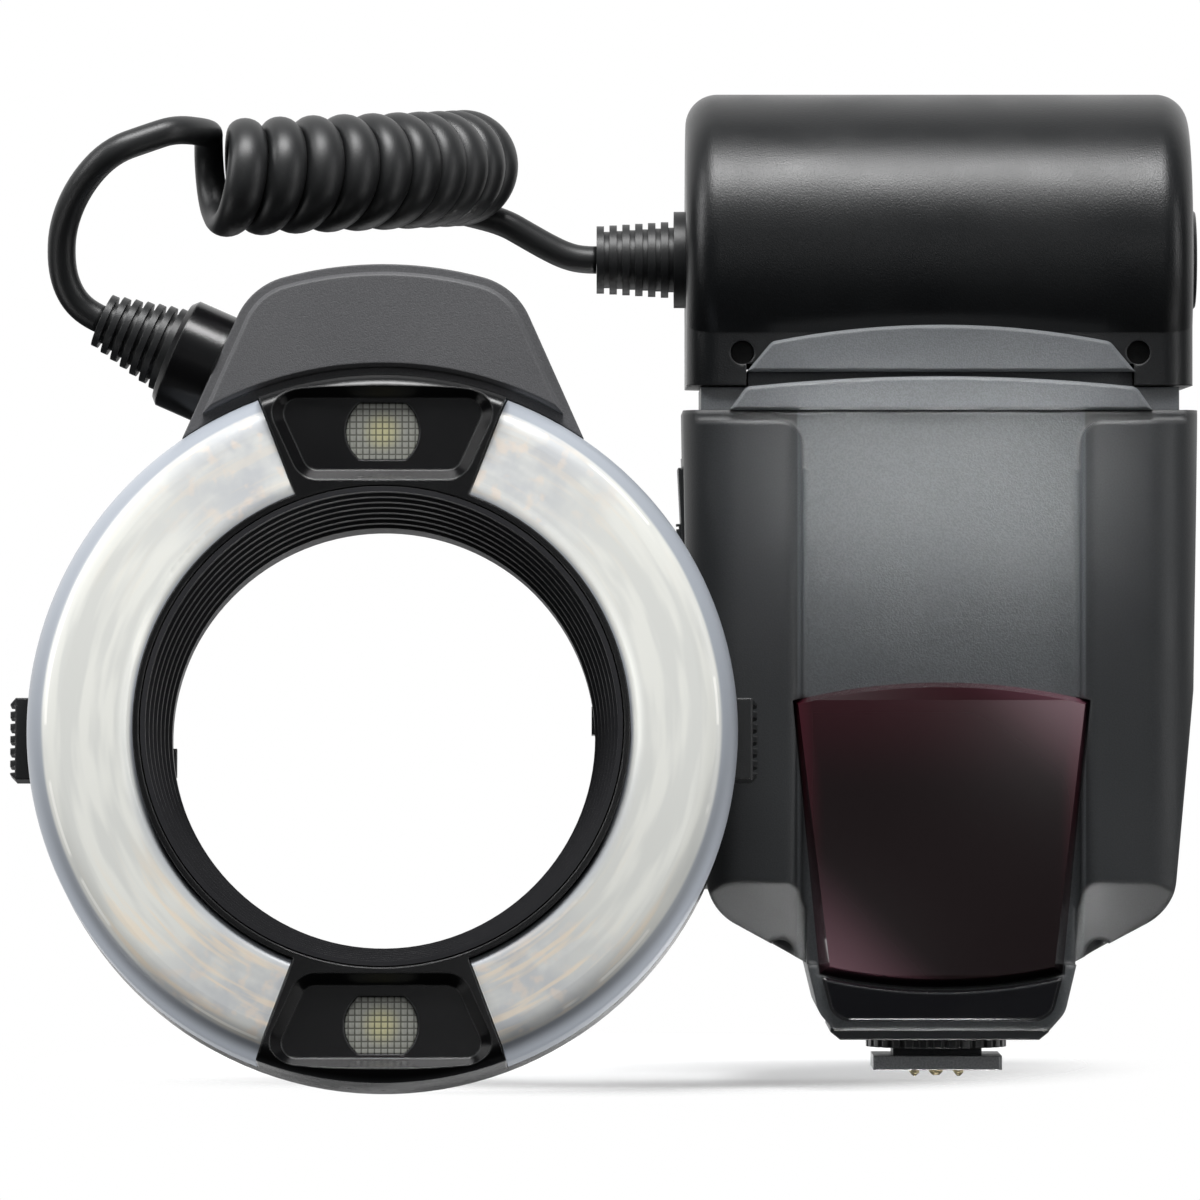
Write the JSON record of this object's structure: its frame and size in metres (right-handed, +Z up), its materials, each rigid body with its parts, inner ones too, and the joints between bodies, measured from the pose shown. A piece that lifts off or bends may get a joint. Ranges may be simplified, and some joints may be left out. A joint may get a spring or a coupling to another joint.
{
  "type": "macro ring flash",
  "caption": "Macro flash: a control unit with a foot for an accessory shoe, joined by a curly cord to a ring light that surrounds a lens.",
  "frame": {"origin": "centre of the shoe foot's underside, where the control unit sits in an accessory shoe", "axes": "+X to the right of somebody looking at the lamps, the longest way; -Y the way the lamps shine; +Z up"},
  "size_m": [0.1699, 0.0936, 0.1433],
  "materials": {
    "body_plastic": "fine textured",
    "ring_plastic": "satin",
    "liner_plastic": "matte",
    "hump_plastic": "fine textured",
    "foot_plastic": "satin",
    "foot_metal": "satin",
    "red_window": "polished",
    "display_window": "polished",
    "display_panel": "satin",
    "key_rubber": "matte",
    "cord_rubber": "satin",
    "diffuser_plastic": "frosted, translucent",
    "reflector_sheet": "polished",
    "tube_glass": "clear",
    "lamp_window": "finely gridded",
    "lamp_chip": "satin",
    "assist_lens": "polished",
    "circuit_board": "satin",
    "contact_metal": "plated",
    "steel": "satin",
    "cell_case": "printed wrap left plain",
    "chamber_plastic": "matte",
    "capacitor_sleeve": "shrink sleeve",
    "transformer": "varnished"
  },
  "bodies": {
    "control_unit": {"assist_lamp": "assist_lens", "battery_cells": "cell_case", "battery_chamber": "chamber_plastic", "battery_contacts": "contact_metal", "body_front_shell": "body_plastic", "body_rear_shell": "body_plastic", "chin_bezel": "ring_plastic", "control_board": "circuit_board", "control_strain_relief": "cord_rubber", "door_hinge_pin": "steel", "flash_capacitor": "capacitor_sleeve", "head_end_cap": "body_plastic", "head_front_shell": "body_plastic", "head_rear_shell": "body_plastic", "housing_screws": "steel", "lcd_panel": "display_panel", "lcd_window": "display_window", "neck_lower_collar": "body_plastic", "neck_upper_collar": "body_plastic", "sensor_window": "red_window", "shoe_base": "body_plastic", "shoe_plate": "foot_metal", "terminal_socket": "chamber_plastic", "lead_control": "cord_rubber", "coil": "cord_rubber"},
    "ring_light": {"diffuser_left": "diffuser_plastic", "diffuser_right": "diffuser_plastic", "flash_tube_left": "tube_glass", "flash_tube_right": "tube_glass", "led_lamps": "lamp_chip", "led_windows": "lamp_window", "reflectors": "reflector_sheet", "ring_circuit_board": "circuit_board", "ring_front_frame": "ring_plastic", "ring_gland_boss": "ring_plastic", "ring_liner": "liner_plastic", "ring_rear_housing": "ring_plastic", "ring_screws": "steel", "ring_strain_relief": "cord_rubber", "ring_top_face": "hump_plastic", "ring_top_housing": "hump_plastic", "trigger_transformer": "transformer", "lead_ring": "cord_rubber"},
    "left_release": {"release_button_left": "foot_plastic"},
    "right_release": {"release_button_right": "foot_plastic"},
    "door": {"battery_door": "body_plastic"},
    "latch": {"door_latch": "body_plastic"},
    "wheel": {"shoe_lock_wheel": "foot_plastic"},
    "pin": {"shoe_lock_pin": "steel"},
    "contacts": {"shoe_contacts": "contact_metal"},
    "cover": {"terminal_cover": "key_rubber"},
    "switch": {"power_switch": "key_rubber"},
    "mode_key_body": {"mode_key": "key_rubber"},
    "lamp_key_body": {"lamp_key": "key_rubber"},
    "pilot_key_body": {"pilot_key": "key_rubber"},
    "set_key_body": {"set_key": "key_rubber"},
    "up_key_body": {"up_key": "key_rubber"},
    "left_key_body": {"left_key": "key_rubber"},
    "down_key_body": {"down_key": "key_rubber"},
    "right_key_body": {"right_key": "key_rubber"}
  },
  "joints": [
    {"name": "ring_reach", "type": "slide", "parent": "control_unit", "child": "ring_light", "axis": [-1, 0, 0], "range_m": [0, 0.12], "stiffness_N_per_m": 30, "deforming": ["coil"]},
    {"name": "release_left_press", "type": "slide", "parent": "ring_light", "child": "left_release", "axis": [1, 0, 0], "range_m": [0, 0.002], "stiffness_N_per_m": 800},
    {"name": "release_right_press", "type": "slide", "parent": "ring_light", "child": "right_release", "axis": [-1, 0, 0], "range_m": [0, 0.002], "stiffness_N_per_m": 800},
    {"name": "battery_door_swing", "type": "hinge", "parent": "control_unit", "child": "door", "pos_m": [-0.0332, 0.0176, 0.02706], "axis": [0.0516, 0, -0.9987], "range_deg": [0, 100]},
    {"name": "door_latch_slide", "type": "slide", "parent": "door", "child": "latch", "axis": [0.0516, 0, -0.9987], "range_m": [0, 0.0025]},
    {"name": "lock_wheel_turn", "type": "hinge", "parent": "control_unit", "child": "wheel", "pos_m": [0, 0, 0.0038], "axis": [0, 0, 1], "range_deg": [0, 90]},
    {"name": "lock_pin_drop", "type": "slide", "parent": "control_unit", "child": "pin", "axis": [0, 0, -1], "range_m": [0, 0.0012]},
    {"name": "contacts_press", "type": "slide", "parent": "control_unit", "child": "contacts", "axis": [0, 0, 1], "range_m": [0, 0.0009], "stiffness_N_per_m": 1500},
    {"name": "terminal_cover_swing", "type": "hinge", "parent": "control_unit", "child": "cover", "pos_m": [0.0353, 0.001, 0.04555], "axis": [0, -1, 0], "range_deg": [0, 80]},
    {"name": "power_switch_slide", "type": "slide", "parent": "control_unit", "child": "switch", "axis": [1, 0, 0], "range_m": [0, 0.004]},
    {"name": "mode_key_press", "type": "slide", "parent": "control_unit", "child": "mode_key_body", "axis": [0, -1, 0], "range_m": [0, 0.0007], "stiffness_N_per_m": 400},
    {"name": "lamp_key_press", "type": "slide", "parent": "control_unit", "child": "lamp_key_body", "axis": [0, -1, 0], "range_m": [0, 0.0007], "stiffness_N_per_m": 400},
    {"name": "pilot_key_press", "type": "slide", "parent": "control_unit", "child": "pilot_key_body", "axis": [0, -1, 0], "range_m": [0, 0.0007], "stiffness_N_per_m": 400},
    {"name": "set_key_press", "type": "slide", "parent": "control_unit", "child": "set_key_body", "axis": [0, -1, 0], "range_m": [0, 0.0007], "stiffness_N_per_m": 400},
    {"name": "up_key_press", "type": "slide", "parent": "control_unit", "child": "up_key_body", "axis": [0, -1, 0], "range_m": [0, 0.0007], "stiffness_N_per_m": 400},
    {"name": "left_key_press", "type": "slide", "parent": "control_unit", "child": "left_key_body", "axis": [0, -1, 0], "range_m": [0, 0.0007], "stiffness_N_per_m": 400},
    {"name": "down_key_press", "type": "slide", "parent": "control_unit", "child": "down_key_body", "axis": [0, -1, 0], "range_m": [0, 0.0007], "stiffness_N_per_m": 400},
    {"name": "right_key_press", "type": "slide", "parent": "control_unit", "child": "right_key_body", "axis": [0, -1, 0], "range_m": [0, 0.0007], "stiffness_N_per_m": 400}
  ],
  "couplings": [
    {"joint": "lock_pin_drop", "follows": "lock_wheel_turn", "m_per_rad": 0.00076394}
  ]
}
